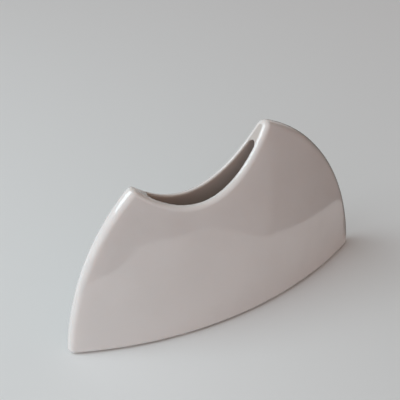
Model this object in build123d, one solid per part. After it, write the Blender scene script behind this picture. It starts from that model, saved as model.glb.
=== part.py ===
from build123d import *
from math import sqrt
import os

# Hanging wall vase, in mm. X runs along the vase, +Y points to the wall behind it, +Z is up.

# Main sizes
base_half = 120.0  # middle of the base to the outside of a ridge
depth = 36.6  # flat back to the front at its fullest
wall = 4.2  # fired clay with its glaze
floor = 6.0
ridge_r = 5.6  # rounding of the ridges where the front meets the back
front_rz = 560.0  # upright curve of the front
full_below = 24.6  # the front is fullest this far below the base

# Mouth line, a parabola seen from the front that runs out over the ridges as two horns
mouth_low = 100.1  # lowest point of the rim above the base
mouth_x = -22.4  # it sits left of the middle
mouth_rise = 0.0116  # rise per mm squared

# Roundings
rim_out_r = 0.74 * wall  # outside of the rim
rim_in_r = 0.21 * wall  # inside of the rim
base_r = 1.8
hollow_ridge_r = 3.4

# Hanging holes in the back wall, for the heads of two wall screws
hang_r = 4.5
hang_half = 60.0  # each hole from the middle
hang_up = 84.0  # above the base

# Soft discs: foot pads under the base, bumpers on the back
pad_r, pad_h = 5.0, 1.5
pad_places = [(85.0, 8.0), (40.0, 26.0)]  # from the middle, and in front of the back
bump_r, bump_h = 5.0, 2.0
bump_places = [(84.0, 18.0), (78.0, 62.0)]  # from the middle, and above the base

# Levels shared by all the pieces
z_base = pad_h
low_depth = depth - front_rz + sqrt(front_rz**2 - (full_below + base_r) ** 2)
y_wall = (low_depth + bump_h) / 2
y_back = y_wall - bump_h
y_front = y_back - depth
z_full = z_base - full_below

# Level curve of the front, so that the rounded ridge ends at base_half on the base
turn = sqrt((front_rz - depth + ridge_r) ** 2 + full_below**2) - front_rz
front_rx = ((base_half - ridge_r) ** 2 + turn**2 - ridge_r**2) / (-2 * (turn + ridge_r))
far = 3 * base_half  # clear of the body on every side


def bowed(inset, low, clear):
    """The space behind the bowed front, inset from it, above level low and in front of the back by clear."""
    r = front_rx - inset
    x1 = 1.4 * base_half
    y_arc = y_front + front_rx
    y_axis = y_front + front_rz
    y1 = y_arc - sqrt(r**2 - x1**2)
    with BuildSketch(Plane.XY.offset(z_full)) as level:
        with BuildLine():
            ThreePointArc((-x1, y1), (0, y_front + inset), (x1, y1))
            Polyline((x1, y1), (x1, y_axis), (-x1, y_axis), (-x1, y1))
        make_face()
    turned = revolve(level.sketch, Axis((0, y_axis, z_full), (1, 0, 0)), 360)
    block = Pos(0, y_back - clear - far / 2, low + far / 2) * Box(far, far, far)
    return turned & block


def ridge_edges(shape, y):
    """The curved edge where the bowed front meets the plane at y."""
    return [e for e in shape.edges() if e.geom_type != GeomType.LINE
            and all(abs((e @ t).Y - y) < 1e-3 for t in (0.1, 0.5, 0.9))]


def edges_at(shape, z):
    return [e for e in shape.edges() if all(abs((e @ t).Z - z) < 1e-3 for t in (0.1, 0.5, 0.9))]


# Vase body: one casting with a flat back, a bowed front, rounded ridges and a hollow inside
outer = bowed(0, z_base, 0)
outer = fillet(ridge_edges(outer, y_back), ridge_r)
outer = fillet(edges_at(outer, z_base), base_r)
hollow = bowed(wall, z_base + floor, wall)
hollow = fillet(ridge_edges(hollow, y_back - wall), hollow_ridge_r)


def mouth_z(x):
    return z_base + mouth_low + mouth_rise * (x - mouth_x) ** 2


def mouth_edges(shape, inner):
    """The edges of the cut rim, on the hollow's side or on the outside."""
    cut = [f for f in shape.faces() if abs(f.normal_at(f.center()).Y) < 1e-3 and f.center().Z > z_base + mouth_low]
    return [e for f in cut for e in f.edges() if (hollow.distance_to(e @ 0.5) < wall / 2) == inner]


# The mouth is cut straight through from front to back, then the rim is rounded inside and outside
z_left, z_right = mouth_z(-base_half), mouth_z(base_half)
z_turn = z_left - 2 * mouth_rise * (base_half + mouth_x) * base_half
z_over = max(z_left, z_right) + wall
with BuildSketch(Plane.XZ.offset(-far)) as opening:
    with BuildLine():
        Bezier((-base_half, z_left), (0, z_turn), (base_half, z_right))
        Polyline((base_half, z_right), (base_half, z_over), (-base_half, z_over), (-base_half, z_left))
    make_face()
body = outer - hollow - extrude(opening.sketch, 2 * far)
body = fillet(mouth_edges(body, True), rim_in_r)
body = fillet(mouth_edges(body, False), rim_out_r)
for side in (-1, 1):
    body -= Pos(side * hang_half, y_back - wall / 2, z_base + hang_up) * Rot(90, 0, 0) * Cylinder(hang_r, 2 * wall)

# Foot pads and wall bumpers: thin discs
pad = Pos(0, 0, pad_h / 2) * Cylinder(pad_r, pad_h)
pads = [Pos(side * x, y_back - y, 0) * pad for x, y in pad_places for side in (-1, 1)]
bump = Pos(0, y_back + bump_h / 2, 0) * Rot(90, 0, 0) * Cylinder(bump_r, bump_h)
bumps = [Pos(side * x, 0, z_base + z) * bump for x, z in bump_places for side in (-1, 1)]

os.makedirs("parts", exist_ok=True)
export_step(body, "parts/vase_body.step")
export_step(Compound(children=pads), "parts/foot_pads.step")
export_step(Compound(children=bumps), "parts/wall_bumpers.step")
print("vase_body", len(body.solids()), "solid,", round(body.volume / 1000, 1), "cm3, valid", body.is_valid)
print("size", body.bounding_box())
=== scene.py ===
# %% [markdown]
# This lesson dresses a white glazed wall vase.
# The construction model is loaded first and stays fixed, because it says how large everything is.
# Each later cell makes one piece or one finish on top of that frame, in metres.

# %% Load the frame
from math import cos, radians, sin, sqrt

import bpy
from mathutils import Matrix, Vector


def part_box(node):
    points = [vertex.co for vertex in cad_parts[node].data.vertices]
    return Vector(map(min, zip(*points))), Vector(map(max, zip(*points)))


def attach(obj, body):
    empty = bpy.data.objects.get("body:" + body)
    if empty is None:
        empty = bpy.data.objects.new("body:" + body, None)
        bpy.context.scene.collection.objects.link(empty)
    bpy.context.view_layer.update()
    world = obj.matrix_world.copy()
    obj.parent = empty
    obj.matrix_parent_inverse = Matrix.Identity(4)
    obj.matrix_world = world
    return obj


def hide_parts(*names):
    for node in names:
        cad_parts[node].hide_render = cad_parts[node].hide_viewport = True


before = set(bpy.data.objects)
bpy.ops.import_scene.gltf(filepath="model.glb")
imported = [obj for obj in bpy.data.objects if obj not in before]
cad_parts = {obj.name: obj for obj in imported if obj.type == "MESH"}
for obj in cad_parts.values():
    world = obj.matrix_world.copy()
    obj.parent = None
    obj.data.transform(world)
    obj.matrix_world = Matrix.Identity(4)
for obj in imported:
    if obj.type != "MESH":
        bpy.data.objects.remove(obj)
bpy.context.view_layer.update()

MM = 0.001
body_low, body_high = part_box("vase_body")
scene = bpy.context.scene
print("frame nodes:", sorted(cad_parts))

# %% [markdown]
# The camera comes first, so that every later choice can be judged from the right place.
# The vase is seen from its left and from above.
# The lens is a little over twice as long as the picture is wide, so the near end looks only a bit larger.
# One known point fixes the eye: the middle of the base's back edge, with its pixel and its distance.

# %% Camera
image_px = 400
focal_px = 900.0
camera_yaw = radians(30.32)
camera_pitch = radians(37.44)
anchor = Vector((0.0, body_high.y, body_low.z))
anchor_px = (212.34, 286.5)
anchor_away = 0.675
sensor_mm = 36.0

level = cos(camera_pitch)
forward = Vector((sin(camera_yaw) * level, cos(camera_yaw) * level, -sin(camera_pitch)))
right = Vector((cos(camera_yaw), -sin(camera_yaw), 0.0))
up = right.cross(forward)
across = (anchor_px[0] - image_px / 2) / focal_px
down = (anchor_px[1] - image_px / 2) / focal_px
eye = anchor - anchor_away * (forward + across * right - down * up)

camera_data = bpy.data.cameras.new("photo_camera")
camera_data.sensor_width = sensor_mm
camera_data.lens = sensor_mm * focal_px / image_px
camera = bpy.data.objects.new("photo_camera", camera_data)
turn = Matrix((right, up, -forward)).transposed()
camera.matrix_world = Matrix.Translation(eye) @ turn.to_4x4()
scene.collection.objects.link(camera)
scene.camera = camera
print("camera at", [round(v, 4) for v in eye], "lens", camera_data.lens)

# %% [markdown]
# A glossy white pot shows its surroundings, so the stage matters as much as the glaze.
# A wide pale floor carries the shadow and fills the picture behind the vase.
# It is matt, because a floor with a gloss of its own would show the vase upside down.

# %% Floor
def shader(name):
    """A new node material, its node tree and its surface shader."""
    material = bpy.data.materials.new(name)
    material.use_nodes = True
    return material, material.node_tree, material.node_tree.nodes["Principled BSDF"]


def flat_sheet(name, corners, material):
    """One flat face on the stage."""
    mesh = bpy.data.meshes.new(name)
    mesh.from_pydata(corners, [], [tuple(range(len(corners)))])
    mesh.materials.append(material)
    sheet = bpy.data.objects.new(name, mesh)
    scene.collection.objects.link(sheet)
    return sheet


floor_half = 5.0
corner_signs = ((-1, -1), (1, -1), (1, 1), (-1, 1))
floor_paint, _, floor_shader = shader("floor_paint")
floor_shader.inputs["Base Color"].default_value = (0.82, 0.815, 0.805, 1.0)
floor_shader.inputs["Roughness"].default_value = 1.0
floor_shader.inputs["Specular IOR Level"].default_value = 0.0
flat_sheet("floor", [(sx * floor_half, sy * floor_half, 0.0) for sx, sy in corner_signs], floor_paint)
print("floor is", 2 * floor_half, "m wide")

# %% [markdown]
# The front of a glazed pot shows soft steps of tone, where its gloss mirrors light and dark things.
# A whole room could be built for that, but a few plain cards do the same.
# Four lie on the floor round the front of the vase, dark at the sides and paler between them.
# A fifth stands far to the right, so that the right ridge stays as dark as the front beside it.
# Only reflections see the cards, and they draw the upper front a little darker than the lower front.
# Neighbours share their seams and ends, so that no bright line shows between them.

# %% Cards
card_up = 0.5 * MM
card_reach = 3.0
side_high = 2.5
left_back, right_back = 0.85, 0.9
dark_tone, dim_tone, pale_tone = 0.04, 0.12, 0.4

left_seam, middle_seam, right_seam = (-0.093, -0.245), (0.031, -0.26), (0.106, -0.101)
left_end, middle_end, right_end = (-0.18, -card_reach), (1.17, -card_reach), (2.86, -card_reach)
left_corners = [(-card_reach, -card_reach), (-card_reach, left_back)]
right_corners = [(card_reach, right_back), (card_reach, -card_reach)]
left_cut = [(-1.5, left_back), (-0.145, -0.115), (-0.114, -0.158), (-0.099, -0.205), left_seam]
dim_cut = [left_seam, (-0.046, -0.252), (-0.015, -0.236), middle_seam]
pale_cut = [middle_seam, (0.062, -0.24), (0.088, -0.18), right_seam]
right_cut = [right_seam, (0.125, -0.09), (0.193, -0.021), (0.185, -0.006), (0.128, 0.004)]
right_cut += [(0.14, 0.1), (0.7, right_back)]


def lying(outline):
    """The corners of a card just above the floor."""
    return [(x, y, card_up) for x, y in outline]


def standing(start, end):
    """The corners of an upright card on the line from start to end."""
    return [(*start, card_up), (*end, card_up), (*end, side_high), (*start, side_high)]


for name, tone, corners in (
    ("left_card", dark_tone, lying(left_cut + [left_end] + left_corners)),
    ("dim_card", dim_tone, lying(dim_cut + [middle_end, left_end])),
    ("pale_card", pale_tone, lying(pale_cut + [right_end, middle_end])),
    ("right_card", dark_tone, lying(right_cut + right_corners + [right_end])),
    ("side_card", dark_tone, standing(right_corners[1], right_corners[0])),
):
    card_paint, _, card_shader = shader(name + "_paint")
    card_shader.inputs["Base Color"].default_value = (tone, tone, tone, 1.0)
    card_shader.inputs["Roughness"].default_value = 0.9
    card = flat_sheet(name, corners, card_paint)
    card.visible_camera = False
    card.visible_diffuse = False
    card.visible_shadow = False
print("cards lie", card_up / MM, "mm above the floor")

# %% [markdown]
# One soft lamp stands for daylight from high on the left.
# So the left ridge is bright, the front is in its own soft shade, and the shadow falls to the right.
# A small lamp would draw a hard shadow, so this one is more than half as wide as it is far away.

# %% Lamp
lamp_place = Vector((-0.8, 0.15, 0.85))
lamp_target = Vector((0.0, 0.0, 0.06))
lamp_side = 0.8
lamp_watts = 6.2

lamp_data = bpy.data.lights.new("window", "AREA")
lamp_data.shape = "SQUARE"
lamp_data.size = lamp_side
lamp_data.energy = lamp_watts
lamp_data.color = (0.8, 0.95, 1.0)
lamp = bpy.data.objects.new("window", lamp_data)
aim = (lamp_target - lamp_place).to_track_quat("-Z", "Y")
lamp.matrix_world = Matrix.Translation(lamp_place) @ aim.to_matrix().to_4x4()
scene.collection.objects.link(lamp)
scene.view_settings.view_transform = "Standard"
print("lamp is", round((lamp_target - lamp_place).length, 2), "m away")

# %% [markdown]
# Node trees hold a lot of arithmetic, and wiring it by hand hides what it means.
# This small class lets plain sums and products build the math nodes, in any node tree.

# %% Sums that build nodes
def feed(tree, value, socket):
    """Gives a socket a field, another socket or a constant."""
    if isinstance(value, Field):
        tree.links.new(value.socket, socket)
    elif isinstance(value, bpy.types.NodeSocket):
        tree.links.new(value, socket)
    else:
        socket.default_value = value


class Field:
    """A number in a node tree, which arithmetic turns into math nodes."""

    def __init__(self, tree, socket):
        self.tree, self.socket = tree, socket

    def math(self, operation, *others):
        node = self.tree.nodes.new("ShaderNodeMath")
        node.operation = operation
        for socket, value in zip(node.inputs, (self, *others)):
            feed(self.tree, value, socket)
        return Field(self.tree, node.outputs[0])

    def __add__(self, other):
        return self.math("ADD", other)

    def __sub__(self, other):
        return self.math("SUBTRACT", other)

    def __mul__(self, other):
        return self.math("MULTIPLY", other)

    def __truediv__(self, other):
        return self.math("DIVIDE", other)

    def __gt__(self, other):
        return self.math("GREATER_THAN", other)

    def __neg__(self):
        return self.math("MULTIPLY", -1.0)


def larger(a, b):
    return a.math("MAXIMUM", b)


def long_side(a, b):
    """The long side of a right triangle with sides a and b."""
    return (a * a + b * b).math("SQRT")


def choose(test, yes, no):
    """yes where test holds, otherwise no."""
    node = test.tree.nodes.new("GeometryNodeSwitch")
    node.input_type = "FLOAT"
    for name, value in (("Switch", test), ("True", yes), ("False", no)):
        feed(test.tree, value, node.inputs[name])
    return Field(test.tree, node.outputs["Output"])


print("sums build nodes")

# %% [markdown]
# A few more helpers take vectors apart, mix colours and make node groups.
# A group's sockets have names, so a later cell reads like a list of sizes.

# %% Vectors, colours and groups
NUMBER, VECTOR, GEOMETRY = "NodeSocketFloat", "NodeSocketVector", "NodeSocketGeometry"


def split(tree, vector):
    """The three numbers of a vector."""
    node = tree.nodes.new("ShaderNodeSeparateXYZ")
    feed(tree, vector, node.inputs["Vector"])
    return [Field(tree, s) for s in node.outputs]


def joined(tree, x, y, z):
    """A vector of three numbers."""
    node = tree.nodes.new("ShaderNodeCombineXYZ")
    for socket, value in zip(node.inputs, (x, y, z)):
        feed(tree, value, socket)
    return node.outputs["Vector"]


def tinted(amount, first, second):
    """The first colour where amount is 0, the second where it is 1."""
    node = amount.tree.nodes.new("ShaderNodeMix")
    node.data_type = "RGBA"
    sockets = {socket.identifier: socket for socket in node.inputs}
    for name, part in (("Factor_Float", amount), ("A_Color", first), ("B_Color", second)):
        feed(amount.tree, part, sockets[name])
    return next(socket for socket in node.outputs if socket.identifier == "Result_Color")


def node_group(kind, name, inputs, outputs):
    """A new node group with named sockets, and its input and output nodes."""
    tree = bpy.data.node_groups.new(name, kind)
    for label, (sort, value) in inputs.items():
        socket = tree.interface.new_socket(label, in_out="INPUT", socket_type=sort)
        if value is not None:
            socket.default_value = value
    for label, sort in outputs.items():
        tree.interface.new_socket(label, in_out="OUTPUT", socket_type=sort)
    return tree, tree.nodes.new("NodeGroupInput"), tree.nodes.new("NodeGroupOutput")


def placed(tree, group, **values):
    """A group placed in a tree with its sockets fed by name, an underscore standing for a space."""
    shading = isinstance(tree, bpy.types.ShaderNodeTree)
    node = tree.nodes.new("ShaderNodeGroup" if shading else "GeometryNodeGroup")
    node.node_tree = group
    for label, value in values.items():
        feed(tree, value, node.inputs[label.replace("_", " ")])
    return node


print("groups take", NUMBER, VECTOR, GEOMETRY)

# %% [markdown]
# Most of the light comes from the room.
# Its left side is daylight, and its ceiling and near side are warmer, each fading with the direction.
# An even white world would be simpler, but the vase would then have no bright and no shaded side.
# The camera, gloss and clear plastic see an even pale room instead, so no view has a dark sky.

# %% Room
daylight = (0.86, 0.93, 1.05)
ceiling = (0.29, 0.27, 0.235)
near_side = (0.24, 0.12, 0.1)
pale_room = (0.55, 0.545, 0.54, 1.0)

world = bpy.data.worlds.new("room")
scene.world = world
world.use_nodes = True
room = world.node_tree
to_right, to_back, to_above = split(room, room.nodes.new("ShaderNodeTexCoord").outputs["Generated"])
left, above, near = larger(-to_right, 0.0), larger(to_above, 0.0), larger(-to_back, 0.0)
glow = joined(room, *[left * a + above * b + near * c for a, b, c in zip(daylight, ceiling, near_side)])
path = room.nodes.new("ShaderNodeLightPath")
seen = Field(room, path.outputs["Is Camera Ray"])
for other in ("Is Glossy Ray", "Is Transmission Ray"):
    seen = larger(seen, Field(room, path.outputs[other]))
feed(room, tinted(seen, glow, pale_room), room.nodes["Background"].inputs["Color"])
print("room uses", len(room.nodes), "nodes")

# %% [markdown]
# The vase is one slip casting, and its shape follows a rule.
# The front is bowed twice, the back is flat, and a ball rolled along the ridge rounds where they meet.
# A rule like that is best written as a distance: how far a point is outside the surface.
# The bowed front is part of a fat ring, so its distance takes two right triangles.
# The ridge's distance is measured from the middle of the rolled ball, found in two steps.

# %% Distance to a lens with a rounded ridge
ball_steps = 2
least_slope = 0.05
lens_names = ("Ring", "Across", "Axis back", "Axis up", "Back", "Ridge")
lens_inputs = {"Position": (VECTOR, None)} | {name: (NUMBER, 0.0) for name in lens_names}
lens, given, made = node_group("GeometryNodeTree", "rounded_lens", lens_inputs, {"Distance": NUMBER})
x, y, z = split(lens, given.outputs["Position"])
ring, wide, axis_back, axis_up, back, ridge = (Field(lens, given.outputs[name]) for name in lens_names)
front = long_side(x, long_side(y - axis_back, z - axis_up) - ring) - wide
behind = y - back
ball_plane = back - ridge - axis_back
foot_x, foot_z = x, z
gap = 0.0
for step in range(ball_steps):
    reach = long_side(ball_plane, foot_z - axis_up)
    arm = long_side(foot_x, reach - ring)
    lean = (reach - ring) / arm / reach
    slope_x = foot_x / arm
    slope_z = lean * (foot_z - axis_up)
    slope = larger(long_side(slope_x, slope_z), least_slope)
    move = (arm - wide + ridge) / slope
    foot_x = foot_x - move * slope_x / slope
    foot_z = foot_z - move * slope_z / slope
    gap = move + gap
turned = behind + ridge
on_ridge = (gap > 0.0) * (turned > gap * lean * ball_plane / slope)
rounded = long_side(gap, turned) - ridge
feed(lens, choose(on_ridge, rounded, larger(front, behind)), made.inputs["Distance"])
print("rounded_lens uses", len(lens.nodes), "nodes")

# %% [markdown]
# The sizes are those of the construction model, written again because the frame has no sizes by name.
# They become named inputs of the node trees, so each can be changed by itself.
# How the front bends across is worked out, so that the rounded ridges end at the base's half length.

# %% Sizes of the vase
base_half = 120.0 * MM
depth = 36.6 * MM
wall = 4.2 * MM
floor_up = 6.0 * MM
ridge_r = 5.6 * MM
front_up = 560.0 * MM
full_below = 24.6 * MM
mouth_low = 100.1 * MM
mouth_x = -22.4 * MM
mouth_rise = 0.0116 / MM
y_back, z_base = body_high.y, body_low.z

flat_turn = sqrt((front_up - depth + ridge_r) ** 2 + full_below**2) - front_up
front_across = ((base_half - ridge_r) ** 2 + flat_turn**2 - ridge_r**2) / (-2 * (flat_turn + ridge_r))
vase_sizes = {
    "Ring": front_up - front_across,
    "Across": front_across,
    "Axis back": y_back - depth + front_up,
    "Axis up": z_base - full_below,
    "Back": y_back,
    "Base": z_base,
    "Wall": wall,
    "Floor": floor_up,
    "Ridge": ridge_r,
    "Hollow ridge": 3.4 * MM,
    "Base edge": 1.8 * MM,
    "Hollow edge": 2.5 * MM,
    "Outer rim": 3.1 * MM,
    "Inner rim": 0.9 * MM,
    "Mouth low": z_base + mouth_low,
    "Mouth middle": mouth_x,
    "Mouth rise": mouth_rise,
    "Hole out": 60.0 * MM,
    "Hole up": z_base + 84.0 * MM,
    "Hole": 4.5 * MM,
    "Hole edge": 0.7 * MM,
}
print("front bends with", round(front_across / MM, 1), "mm across,", round(front_up / MM, 1), "mm upright")

# %% [markdown]
# The whole pot joins a few such distances.
# The outside is the lens cut off at the base, and the hollow is a smaller lens inside it.
# The mouth is a parabola that runs out over the two horns, and the hanging holes are bores in the back.
# Where two surfaces meet in an edge, the edge is rounded as the glaze rounds it.

# %% Distance to the vase
def round_meet(a, b, radius):
    """Inside both a and b, with the edge between them rounded."""
    over_a, over_b = a + radius, b + radius
    near = (over_a > 0.0) * (over_b > 0.0)
    return choose(near, long_side(over_a, over_b) - radius, larger(a, b))


vase_inputs = {"Position": (VECTOR, None)}
vase_inputs |= {name: (NUMBER, value) for name, value in vase_sizes.items()}
vase_outputs = {"Distance": NUMBER, "Mouth": NUMBER, "Outside": NUMBER}
vase, given, made = node_group("GeometryNodeTree", "vase_distance", vase_inputs, vase_outputs)
size = {name: Field(vase, given.outputs[name]) for name in vase_sizes}
place = given.outputs["Position"]
x, y, z = split(vase, place)


def lens_distance(inset, clear, ridge):
    """The lens, inset from the bowed front and clear of the flat back."""
    node = placed(
        vase, lens, Position=place, Ring=size["Ring"], Across=size["Across"] - inset,
        Axis_back=size["Axis back"], Axis_up=size["Axis up"], Back=size["Back"] - clear, Ridge=ridge,
    )
    return Field(vase, node.outputs["Distance"])


outer_lens = lens_distance(0.0, 0.0, size["Ridge"])
outer = round_meet(outer_lens, size["Base"] - z, size["Base edge"])
hollow_lens = lens_distance(size["Wall"], size["Wall"], size["Hollow ridge"])
hollow = round_meet(hollow_lens, size["Base"] + size["Floor"] - z, size["Hollow edge"])

aside = x - size["Mouth middle"]
steep = aside * size["Mouth rise"] * 2.0
above_mouth = z - size["Mouth low"] - aside * aside * size["Mouth rise"]
mouth = above_mouth / (steep * steep + 1.0).math("SQRT")

outer_rim = round_meet(outer, mouth, size["Outer rim"])
inner_rim = round_meet(-hollow, mouth, size["Inner rim"])
bore = long_side(x.math("ABSOLUTE") - size["Hole out"], z - size["Hole up"]) - size["Hole"]
bore = larger(bore, size["Back"] - size["Wall"] * 2.0 - y)
drilled = round_meet(larger(outer_rim, inner_rim), -bore, size["Hole edge"])
feed(vase, drilled, made.inputs["Distance"])
feed(vase, mouth, made.inputs["Mouth"])
feed(vase, outer, made.inputs["Outside"])
print("vase_distance uses", len(vase.nodes), "nodes")

# %% [markdown]
# A distance is not a mesh yet, and a skin drawn from it on a grid is a little uneven.
# So the skin's points are moved onto the exact surface afterwards.
# The distance at a point says how far it has to go, and three small steps beside it say which way.
# Between such moves each point goes to the mean of its neighbours, which evens out the mesh.

# %% Points moved onto the surface
probe = 0.05 * MM
least_length = 0.25


def distance_at(tree, sizes, position):
    """The vase's distances at a position, by name."""
    node = placed(tree, vase, Position=position)
    for name, value in sizes.items():
        feed(tree, value, node.inputs[name])
    return {socket.name: Field(tree, socket) for socket in node.outputs}


def shifted(tree, geometry, direction, amount):
    """Moves each point by an amount along a direction of three numbers."""
    node = tree.nodes.new("GeometryNodeSetPosition")
    feed(tree, geometry, node.inputs["Geometry"])
    feed(tree, joined(tree, *[part * amount for part in direction]), node.inputs["Offset"])
    return node.outputs["Geometry"]


def set_on_surface(tree, sizes, geometry):
    """Moves each point along the slope of the distance, onto the surface."""
    position = tree.nodes.new("GeometryNodeInputPosition").outputs["Position"]
    px, py, pz = split(tree, position)
    here = distance_at(tree, sizes, position)["Distance"]
    slopes = []
    for moved in ((px + probe, py, pz), (px, py + probe, pz), (px, py, pz + probe)):
        there = distance_at(tree, sizes, joined(tree, *moved))["Distance"]
        slopes.append((there - here) / probe)
    length = slopes[0] * slopes[0] + slopes[1] * slopes[1] + slopes[2] * slopes[2]
    return shifted(tree, geometry, slopes, -here / larger(length, least_length))


def evened(tree, geometry):
    """Moves each point to the mean of its neighbours."""
    position = tree.nodes.new("GeometryNodeInputPosition").outputs["Position"]
    blur = tree.nodes.new("GeometryNodeBlurAttribute")
    blur.data_type = "FLOAT_VECTOR"
    feed(tree, position, blur.inputs["Value"])
    node = tree.nodes.new("GeometryNodeSetPosition")
    feed(tree, geometry, node.inputs["Geometry"])
    feed(tree, blur.outputs["Value"], node.inputs["Position"])
    return node.outputs["Geometry"]


print("slopes are felt over", probe / MM, "mm")

# %% [markdown]
# A casting is rubbed down by hand and its glaze runs, so it is never quite even.
# A slow noise sinks the skin by about a tenth of a millimetre, always inwards, so the pot keeps its size.
# It is real shape and not bump, because such slow waves bend the reflections and the outline alike.
# The skin also keeps numbers on its points, which the glaze reads later.

# %% Ripple and kept numbers
ripple_floor = 0.25


def rippled(tree, geometry, depth, per_metre):
    """Sinks the skin by an uneven amount."""
    noise = tree.nodes.new("ShaderNodeTexNoise")
    noise.inputs["Detail"].default_value = 2.0
    noise.inputs["Roughness"].default_value = 0.65
    feed(tree, per_metre, noise.inputs["Scale"])
    sunk = larger(Field(tree, noise.outputs["Fac"]) - ripple_floor, 0.0)
    normal = split(tree, tree.nodes.new("GeometryNodeInputNormal").outputs["Normal"])
    return shifted(tree, geometry, normal, -sunk * Field(tree, depth))


def marked(tree, geometry, name, value):
    """Keeps a number on each point, for a material to read."""
    node = tree.nodes.new("GeometryNodeStoreNamedAttribute")
    node.data_type = "FLOAT"
    node.domain = "POINT"
    node.inputs["Name"].default_value = name
    feed(tree, geometry, node.inputs["Geometry"])
    feed(tree, value, node.inputs["Value"])
    return node.outputs["Geometry"]


print("noise below", ripple_floor, "leaves the skin where it is")

# %% [markdown]
# Every tree ends alike, with real geometry, smooth shading and a material.
# Its sizes are set on a modifier, and the result is kept as a plain mesh.
# Kept live, the tree would be worked out again for every render, and an export would drop its instances.

# %% From tree to piece
def tree_end(tree, geometry, material, made):
    """Realize Instances, smooth shading and Set Material, then the tree's output."""
    real = tree.nodes.new("GeometryNodeRealizeInstances")
    smooth = tree.nodes.new("GeometryNodeSetShadeSmooth")
    paint = tree.nodes.new("GeometryNodeSetMaterial")
    feed(tree, geometry, real.inputs["Geometry"])
    feed(tree, real.outputs["Geometry"], smooth.inputs["Geometry"])
    feed(tree, smooth.outputs["Geometry"], paint.inputs["Geometry"])
    paint.inputs["Material"].default_value = material
    feed(tree, paint.outputs["Geometry"], made.inputs["Geometry"])


def grown(name, start_mesh, tree, values):
    """An object made by a geometry node tree with these named sizes, kept as a plain mesh."""
    grower = bpy.data.objects.new(name + "_grower", start_mesh)
    scene.collection.objects.link(grower)
    modifier = grower.modifiers.new("shape", "NODES")
    modifier.node_group = tree
    for item in tree.interface.items_tree:
        if item.in_out == "INPUT" and item.name in values:
            modifier[item.identifier] = values[item.name]
    mesh = bpy.data.meshes.new_from_object(grower.evaluated_get(bpy.context.evaluated_depsgraph_get()))
    bpy.data.objects.remove(grower)
    mesh.name = name
    piece = bpy.data.objects.new(name, mesh)
    scene.collection.objects.link(piece)
    print(name, "has", len(mesh.vertices), "points and", len(mesh.polygons), "faces")
    return piece


print("trees grow pieces")

# %% [markdown]
# Now the vase itself, its outside, rim and hollow in one skin, as it comes out of the kiln.
# Modelled by hand from patches, it would show seams where ridge, rim and horns run into each other.
# So a box of small cells is filled with the distance, and a skin is drawn where that is zero.
# The points are then evened out and set back on the surface a few times, and the ripple comes last.

# %% Skin of the vase
cell = 1.15 * MM
margin = 3 * cell
even_steps = 4
glaze, glaze_tree, glaze_shader = shader("white_glaze")
skin_sizes = vase_sizes | {"Ripple depth": 0.4 * MM, "Ripples per metre": 24.0}
skin_inputs = {"Geometry": (GEOMETRY, None)}
skin_inputs |= {name: (NUMBER, value) for name, value in skin_sizes.items()}
skin, given, made = node_group("GeometryNodeTree", "vase_skin", skin_inputs, {"Geometry": GEOMETRY})
sizes = {name: given.outputs[name] for name in vase_sizes}
position = skin.nodes.new("GeometryNodeInputPosition").outputs["Position"]
here = distance_at(skin, sizes, position)

grid = skin.nodes.new("GeometryNodeVolumeCube")
grid_low = body_low - Vector((margin,) * 3)
grid_high = body_high + Vector((margin,) * 3)
grid.inputs["Min"].default_value = grid_low
grid.inputs["Max"].default_value = grid_high
grid.inputs["Background"].default_value = -1.0
for axis, span in zip("XYZ", grid_high - grid_low):
    grid.inputs["Resolution " + axis].default_value = round(span / cell)
feed(skin, -here["Distance"] / cell, grid.inputs["Density"])
drawn = skin.nodes.new("GeometryNodeVolumeToMesh")
drawn.inputs["Threshold"].default_value = 0.0
feed(skin, grid.outputs["Volume"], drawn.inputs["Volume"])

shape = set_on_surface(skin, sizes, drawn.outputs["Mesh"])
for step in range(even_steps):
    shape = set_on_surface(skin, sizes, evened(skin, shape))
shape = set_on_surface(skin, sizes, set_on_surface(skin, sizes, shape))
# How deep in the wall a point is; the glaze uses it to place painted shade in the hollow.
shape = marked(skin, shape, "in_hollow", -here["Outside"] / Field(skin, sizes["Wall"]))
shape = marked(skin, shape, "below_rim", -here["Mouth"])
shape = rippled(skin, shape, given.outputs["Ripple depth"], given.outputs["Ripples per metre"])
tree_end(skin, shape, glaze, made)
vase_piece = grown("glazed_vase", bpy.data.meshes.new("empty"), skin, skin_sizes)
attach(vase_piece, "root")
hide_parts("vase_body")

# %% [markdown]
# Four felt pads stand under the base and four clear bumpers sit on the back, so nothing scratches.
# Each set repeats one small shape, which is a job for instances on points.
# Both kinds are round, so one tree takes a round blank, gives it a profile and sets it down at each place.

# %% Turned discs
disc_sides = 64
disc_rings = 8


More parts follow.
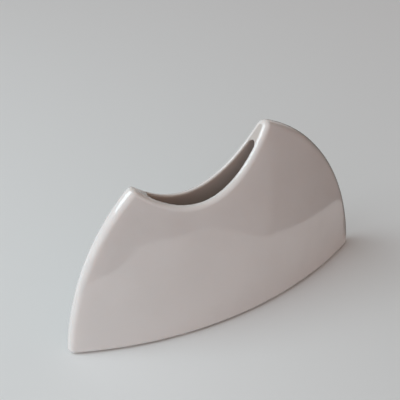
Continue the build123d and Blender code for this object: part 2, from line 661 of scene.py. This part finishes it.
def disc_tree(name, material, radius, thick, profile):
    """A tree that shapes a round blank by a profile and sets it on each point, flat side on the point."""
    inputs = {"Geometry": (GEOMETRY, None), "Radius": (NUMBER, radius), "Thickness": (NUMBER, thick)}
    inputs["Turn"] = (VECTOR, None)
    tree, given, made = node_group("GeometryNodeTree", name, inputs, {"Geometry": GEOMETRY})
    blank = tree.nodes.new("GeometryNodeMeshCylinder")
    blank.fill_type = "TRIANGLE_FAN"
    blank.inputs["Vertices"].default_value = disc_sides
    blank.inputs["Side Segments"].default_value = disc_rings
    blank.inputs["Fill Segments"].default_value = disc_rings
    blank.inputs["Radius"].default_value = 1.0
    blank.inputs["Depth"].default_value = 1.0
    px, py, pz = split(tree, tree.nodes.new("GeometryNodeInputPosition").outputs["Position"])
    out, up = profile(long_side(px, py), pz + 0.5)
    shape = tree.nodes.new("GeometryNodeSetPosition")
    feed(tree, blank.outputs["Mesh"], shape.inputs["Geometry"])
    radius, thick = Field(tree, given.outputs["Radius"]), Field(tree, given.outputs["Thickness"])
    feed(tree, joined(tree, px * out * radius, py * out * radius, up * thick), shape.inputs["Position"])
    each = tree.nodes.new("GeometryNodeInstanceOnPoints")
    feed(tree, given.outputs["Geometry"], each.inputs["Points"])
    feed(tree, shape.outputs["Geometry"], each.inputs["Instance"])
    euler = tree.nodes.new("FunctionNodeEulerToRotation")
    feed(tree, given.outputs["Turn"], euler.inputs["Euler"])
    feed(tree, euler.outputs["Rotation"], each.inputs["Rotation"])
    tree_end(tree, each.outputs["Instances"], material, made)
    return tree


def points(name, places):
    """A mesh of loose points."""
    mesh = bpy.data.meshes.new(name)
    mesh.from_pydata(places, [], [])
    return mesh


print("discs have", disc_sides, "sides")

# %% [markdown]
# A pad is punched from felt, so its sides are straight and its cut edges are barely drawn in.
# A bumper is moulded, and swells to a low dome with a round shoulder.
# A profile gets how far a point is from the middle and how high it is, each from 0 to 1.
# It gives back how much the point moves out and where its height ends up.
# The pads lie as they are made, and the bumpers are turned to face backwards.

# %% Felt pads and clear bumpers
pads_low, pads_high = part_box("foot_pads")
_, bumps_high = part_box("wall_bumpers")
pad_thick, bump_thick = pads_high.z - pads_low.z, bumps_high.y - y_back
pad_places = [(85.0 * MM, 8.0 * MM), (40.0 * MM, 26.0 * MM)]
bump_places = [(84.0 * MM, 18.0 * MM), (78.0 * MM, 62.0 * MM)]
pad_r, bump_r = 5.0 * MM, 5.0 * MM
no_turn, to_back_turn = 0.0, radians(-90.0)
felt, felt_tree, felt_shader = shader("grey_felt")
rubber, rubber_tree, rubber_shader = shader("clear_rubber")


def punched(away, up):
    """A felt disc: straight sides, with the last bit of its edge drawn in where the punch came through."""
    drawn_in, sharpness = 0.03, 6.0
    near_face = ((up - 0.5).math("ABSOLUTE") * 2.0).math("POWER", sharpness)
    return -near_face * drawn_in + 1.0, up


def domed(away, up):
    """A moulded bumper: the far face swells to a low dome with a round shoulder."""
    shoulder_drop = 0.62
    shoulder = (-(away * away).math("POWER", 2.0) * shoulder_drop + 1.0).math("SQRT")
    return 1.0, up * shoulder


pad_points = [(side * x, y_back - y, pads_low.z) for x, y in pad_places for side in (-1, 1)]
bump_points = [(side * x, y_back, z_base + z) for x, z in bump_places for side in (-1, 1)]
pad_sizes = {"Radius": pad_r, "Thickness": pad_thick, "Turn": (no_turn, 0.0, 0.0)}
bump_sizes = {"Radius": bump_r, "Thickness": bump_thick, "Turn": (to_back_turn, 0.0, 0.0)}
for name, node, slot, material, profile, spots, sizes in (
    ("felt_pads", "foot_pads", "felt", felt, punched, pad_points, pad_sizes),
    ("clear_bumpers", "wall_bumpers", "clear_rubber", rubber, domed, bump_points, bump_sizes),
):
    tree = disc_tree(name + "_tree", material, sizes["Radius"], sizes["Thickness"], profile)
    piece = grown(name, points(name + "_spots", spots), tree, sizes)
    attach(piece, "root")
    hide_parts(node)

# %% [markdown]
# Three finishes follow, and two effects serve all of them.
# Mottle is soft patches between two colours: glaze pools, felt fibres gather and rubber clouds.
# Grain is a fine unevenness of the surface, given as a height in metres.
# Each is a node group that is built once and placed in each material with its own scale and colours.

# %% Mottle and grain
COLOUR = "NodeSocketColor"
patch_start, patch_end = 0.3, 0.7


def rise(value, start, end):
    """0 up to start, 1 from end on, and a smooth step between."""
    node = value.tree.nodes.new("ShaderNodeMapRange")
    node.interpolation_type = "SMOOTHSTEP"
    for name, part in (("Value", value), ("From Min", start), ("From Max", end)):
        feed(value.tree, part, node.inputs[name])
    return Field(value.tree, node.outputs["Result"])


def spread(tree, given):
    """Noise over the piece's own coordinates, with the group's scale and detail."""
    noise = tree.nodes.new("ShaderNodeTexNoise")
    feed(tree, tree.nodes.new("ShaderNodeTexCoord").outputs["Object"], noise.inputs["Vector"])
    feed(tree, given.outputs["Per metre"], noise.inputs["Scale"])
    feed(tree, given.outputs["Detail"], noise.inputs["Detail"])
    return Field(tree, noise.outputs["Fac"])


noise_inputs = {"Per metre": (NUMBER, 100.0), "Detail": (NUMBER, 2.0)}
mottle_inputs = noise_inputs | {"Light": (COLOUR, None), "Dark": (COLOUR, None)}
mottle_outputs = {"Colour": COLOUR, "Patch": NUMBER}
mottle, given, made = node_group("ShaderNodeTree", "mottle", mottle_inputs, mottle_outputs)
patch = rise(spread(mottle, given), patch_start, patch_end)
feed(mottle, tinted(patch, given.outputs["Light"], given.outputs["Dark"]), made.inputs["Colour"])
feed(mottle, patch, made.inputs["Patch"])

grain_inputs = noise_inputs | {"Depth": (NUMBER, 0.0)}
grain, given, made = node_group("ShaderNodeTree", "grain", grain_inputs, {"Height": NUMBER})
feed(grain, spread(grain, given) * Field(grain, given.outputs["Depth"]), made.inputs["Height"])


def roughened(tree, principled, **values):
    """Puts grain on a material's surface."""
    bump = tree.nodes.new("ShaderNodeBump")
    bump.inputs["Distance"].default_value = 1.0
    feed(tree, placed(tree, grain, **values).outputs["Height"], bump.inputs["Height"])
    feed(tree, bump.outputs["Normal"], principled.inputs["Normal"])


print("groups:", mottle.name, grain.name)

# %% [markdown]
# The glaze is a glossy white over a warm clay.
# Light enters it and spreads a few millimetres before it leaves.
# That is why the bright ridge fades softly into the front, and why plain white paint would look hard.
# It is thinner over the rim, so there the clay warms it a little. Inside the hollow the colour is painted
# darker and warmer, as painted shade for the deep narrow hollow.
# The foot is wiped clean before firing, or the pot would stick in the kiln.
# The skin kept two numbers on each point, how deep in the wall it is and how far below the rim.
# They say where the glaze is thin over the rim and where the hollow gets its painted shade, and the height
# above the base says where it is wiped off.

# %% White glaze
glaze_light = (0.785, 0.74, 0.71, 1.0)
glaze_dark = (0.76, 0.715, 0.685, 1.0)
# Painted shade: the inside of the hollow is coloured darker and warmer than the glaze.
hollow_painted_shade = (0.57, 0.51, 0.465, 1.0)
rim_clay = (0.8, 0.72, 0.67, 1.0)
bare_clay = (0.74, 0.68, 0.61, 1.0)
rim_share = 0.3
rim_reach = 2.5 * MM
hollow_start, hollow_end = 0.75, 1.0
wiped_low, wiped_high = z_base + 0.3 * MM, z_base + 1.2 * MM
smooth_rough, patch_rough, bare_rough = 0.12, 0.05, 0.6


def kept_number(tree, name):
    """A number that the skin kept on each of its points."""
    node = tree.nodes.new("ShaderNodeAttribute")
    node.attribute_name = name
    return Field(tree, node.outputs["Fac"])


glaze_patches = placed(glaze_tree, mottle, Per_metre=26.0, Light=glaze_light, Dark=glaze_dark)
height_up = split(glaze_tree, glaze_tree.nodes.new("ShaderNodeTexCoord").outputs["Object"])[2]
foot = -rise(height_up, wiped_low, wiped_high) + 1.0
thin_rim = (-rise(kept_number(glaze_tree, "below_rim"), 0.0, rim_reach) + 1.0) * rim_share
# Painted shade, strongest deep in the hollow.
hollow_shade_amount = rise(kept_number(glaze_tree, "in_hollow"), hollow_start, hollow_end)
colour = tinted(thin_rim, glaze_patches.outputs["Colour"], rim_clay)
colour = tinted(hollow_shade_amount, colour, hollow_painted_shade)
feed(glaze_tree, tinted(foot, colour, bare_clay), glaze_shader.inputs["Base Color"])
glaze_rough = Field(glaze_tree, glaze_patches.outputs["Patch"]) * patch_rough + smooth_rough
feed(glaze_tree, glaze_rough + foot * bare_rough, glaze_shader.inputs["Roughness"])
feed(glaze_tree, -foot + 1.0, glaze_shader.inputs["Coat Weight"])
glaze_shader.inputs["Coat Roughness"].default_value = 0.03
glaze_shader.inputs["Coat IOR"].default_value = 1.6
glaze_shader.inputs["Subsurface Weight"].default_value = 0.8
glaze_shader.inputs["Subsurface Radius"].default_value = (1.0, 0.9, 0.85)
glaze_shader.inputs["Subsurface Scale"].default_value = 6.0 * MM
roughened(glaze_tree, glaze_shader, Per_metre=130.0, Detail=0.5, Depth=0.03 * MM)
print("glaze uses", len(glaze_tree.nodes), "nodes")

# %% [markdown]
# Felt is pressed wool, so it is matt, fuzzy and flecked at the scale of its fibres.
# Real strands would be thousands of pieces that hardly show under a pot, so the two effects stand for them.
# A little sheen stands for the loose fibre ends, and deep grain breaks up the flat faces.

# %% Felt
felt_light = (0.82, 0.81, 0.79, 1.0)
felt_dark = (0.6, 0.59, 0.57, 1.0)
fibres = placed(felt_tree, mottle, Per_metre=1500.0, Detail=5.0, Light=felt_light, Dark=felt_dark)
feed(felt_tree, fibres.outputs["Colour"], felt_shader.inputs["Base Color"])
felt_shader.inputs["Roughness"].default_value = 0.95
felt_shader.inputs["Sheen Weight"].default_value = 0.35
roughened(felt_tree, felt_shader, Per_metre=1800.0, Detail=4.0, Depth=0.15 * MM)
print("felt uses", len(felt_tree.nodes), "nodes")

# %% [markdown]
# The bumpers are clear soft plastic, faintly cloudy, with a satin skin from the mould.
# Pale paint would hide the glaze behind them, so the light is let through instead.

# %% Clear rubber
rubber_light = (0.95, 0.95, 0.93, 1.0)
rubber_dark = (0.88, 0.88, 0.86, 1.0)
clear_rough, cloud_rough = 0.14, 0.12
clouds = placed(rubber_tree, mottle, Per_metre=400.0, Light=rubber_light, Dark=rubber_dark)
feed(rubber_tree, clouds.outputs["Colour"], rubber_shader.inputs["Base Color"])
rubber_rough = Field(rubber_tree, clouds.outputs["Patch"]) * cloud_rough + clear_rough
feed(rubber_tree, rubber_rough, rubber_shader.inputs["Roughness"])
rubber_shader.inputs["Transmission Weight"].default_value = 0.85
rubber_shader.inputs["IOR"].default_value = 1.45
roughened(rubber_tree, rubber_shader, Per_metre=900.0, Depth=0.01 * MM)
print("rubber uses", len(rubber_tree.nodes), "nodes")
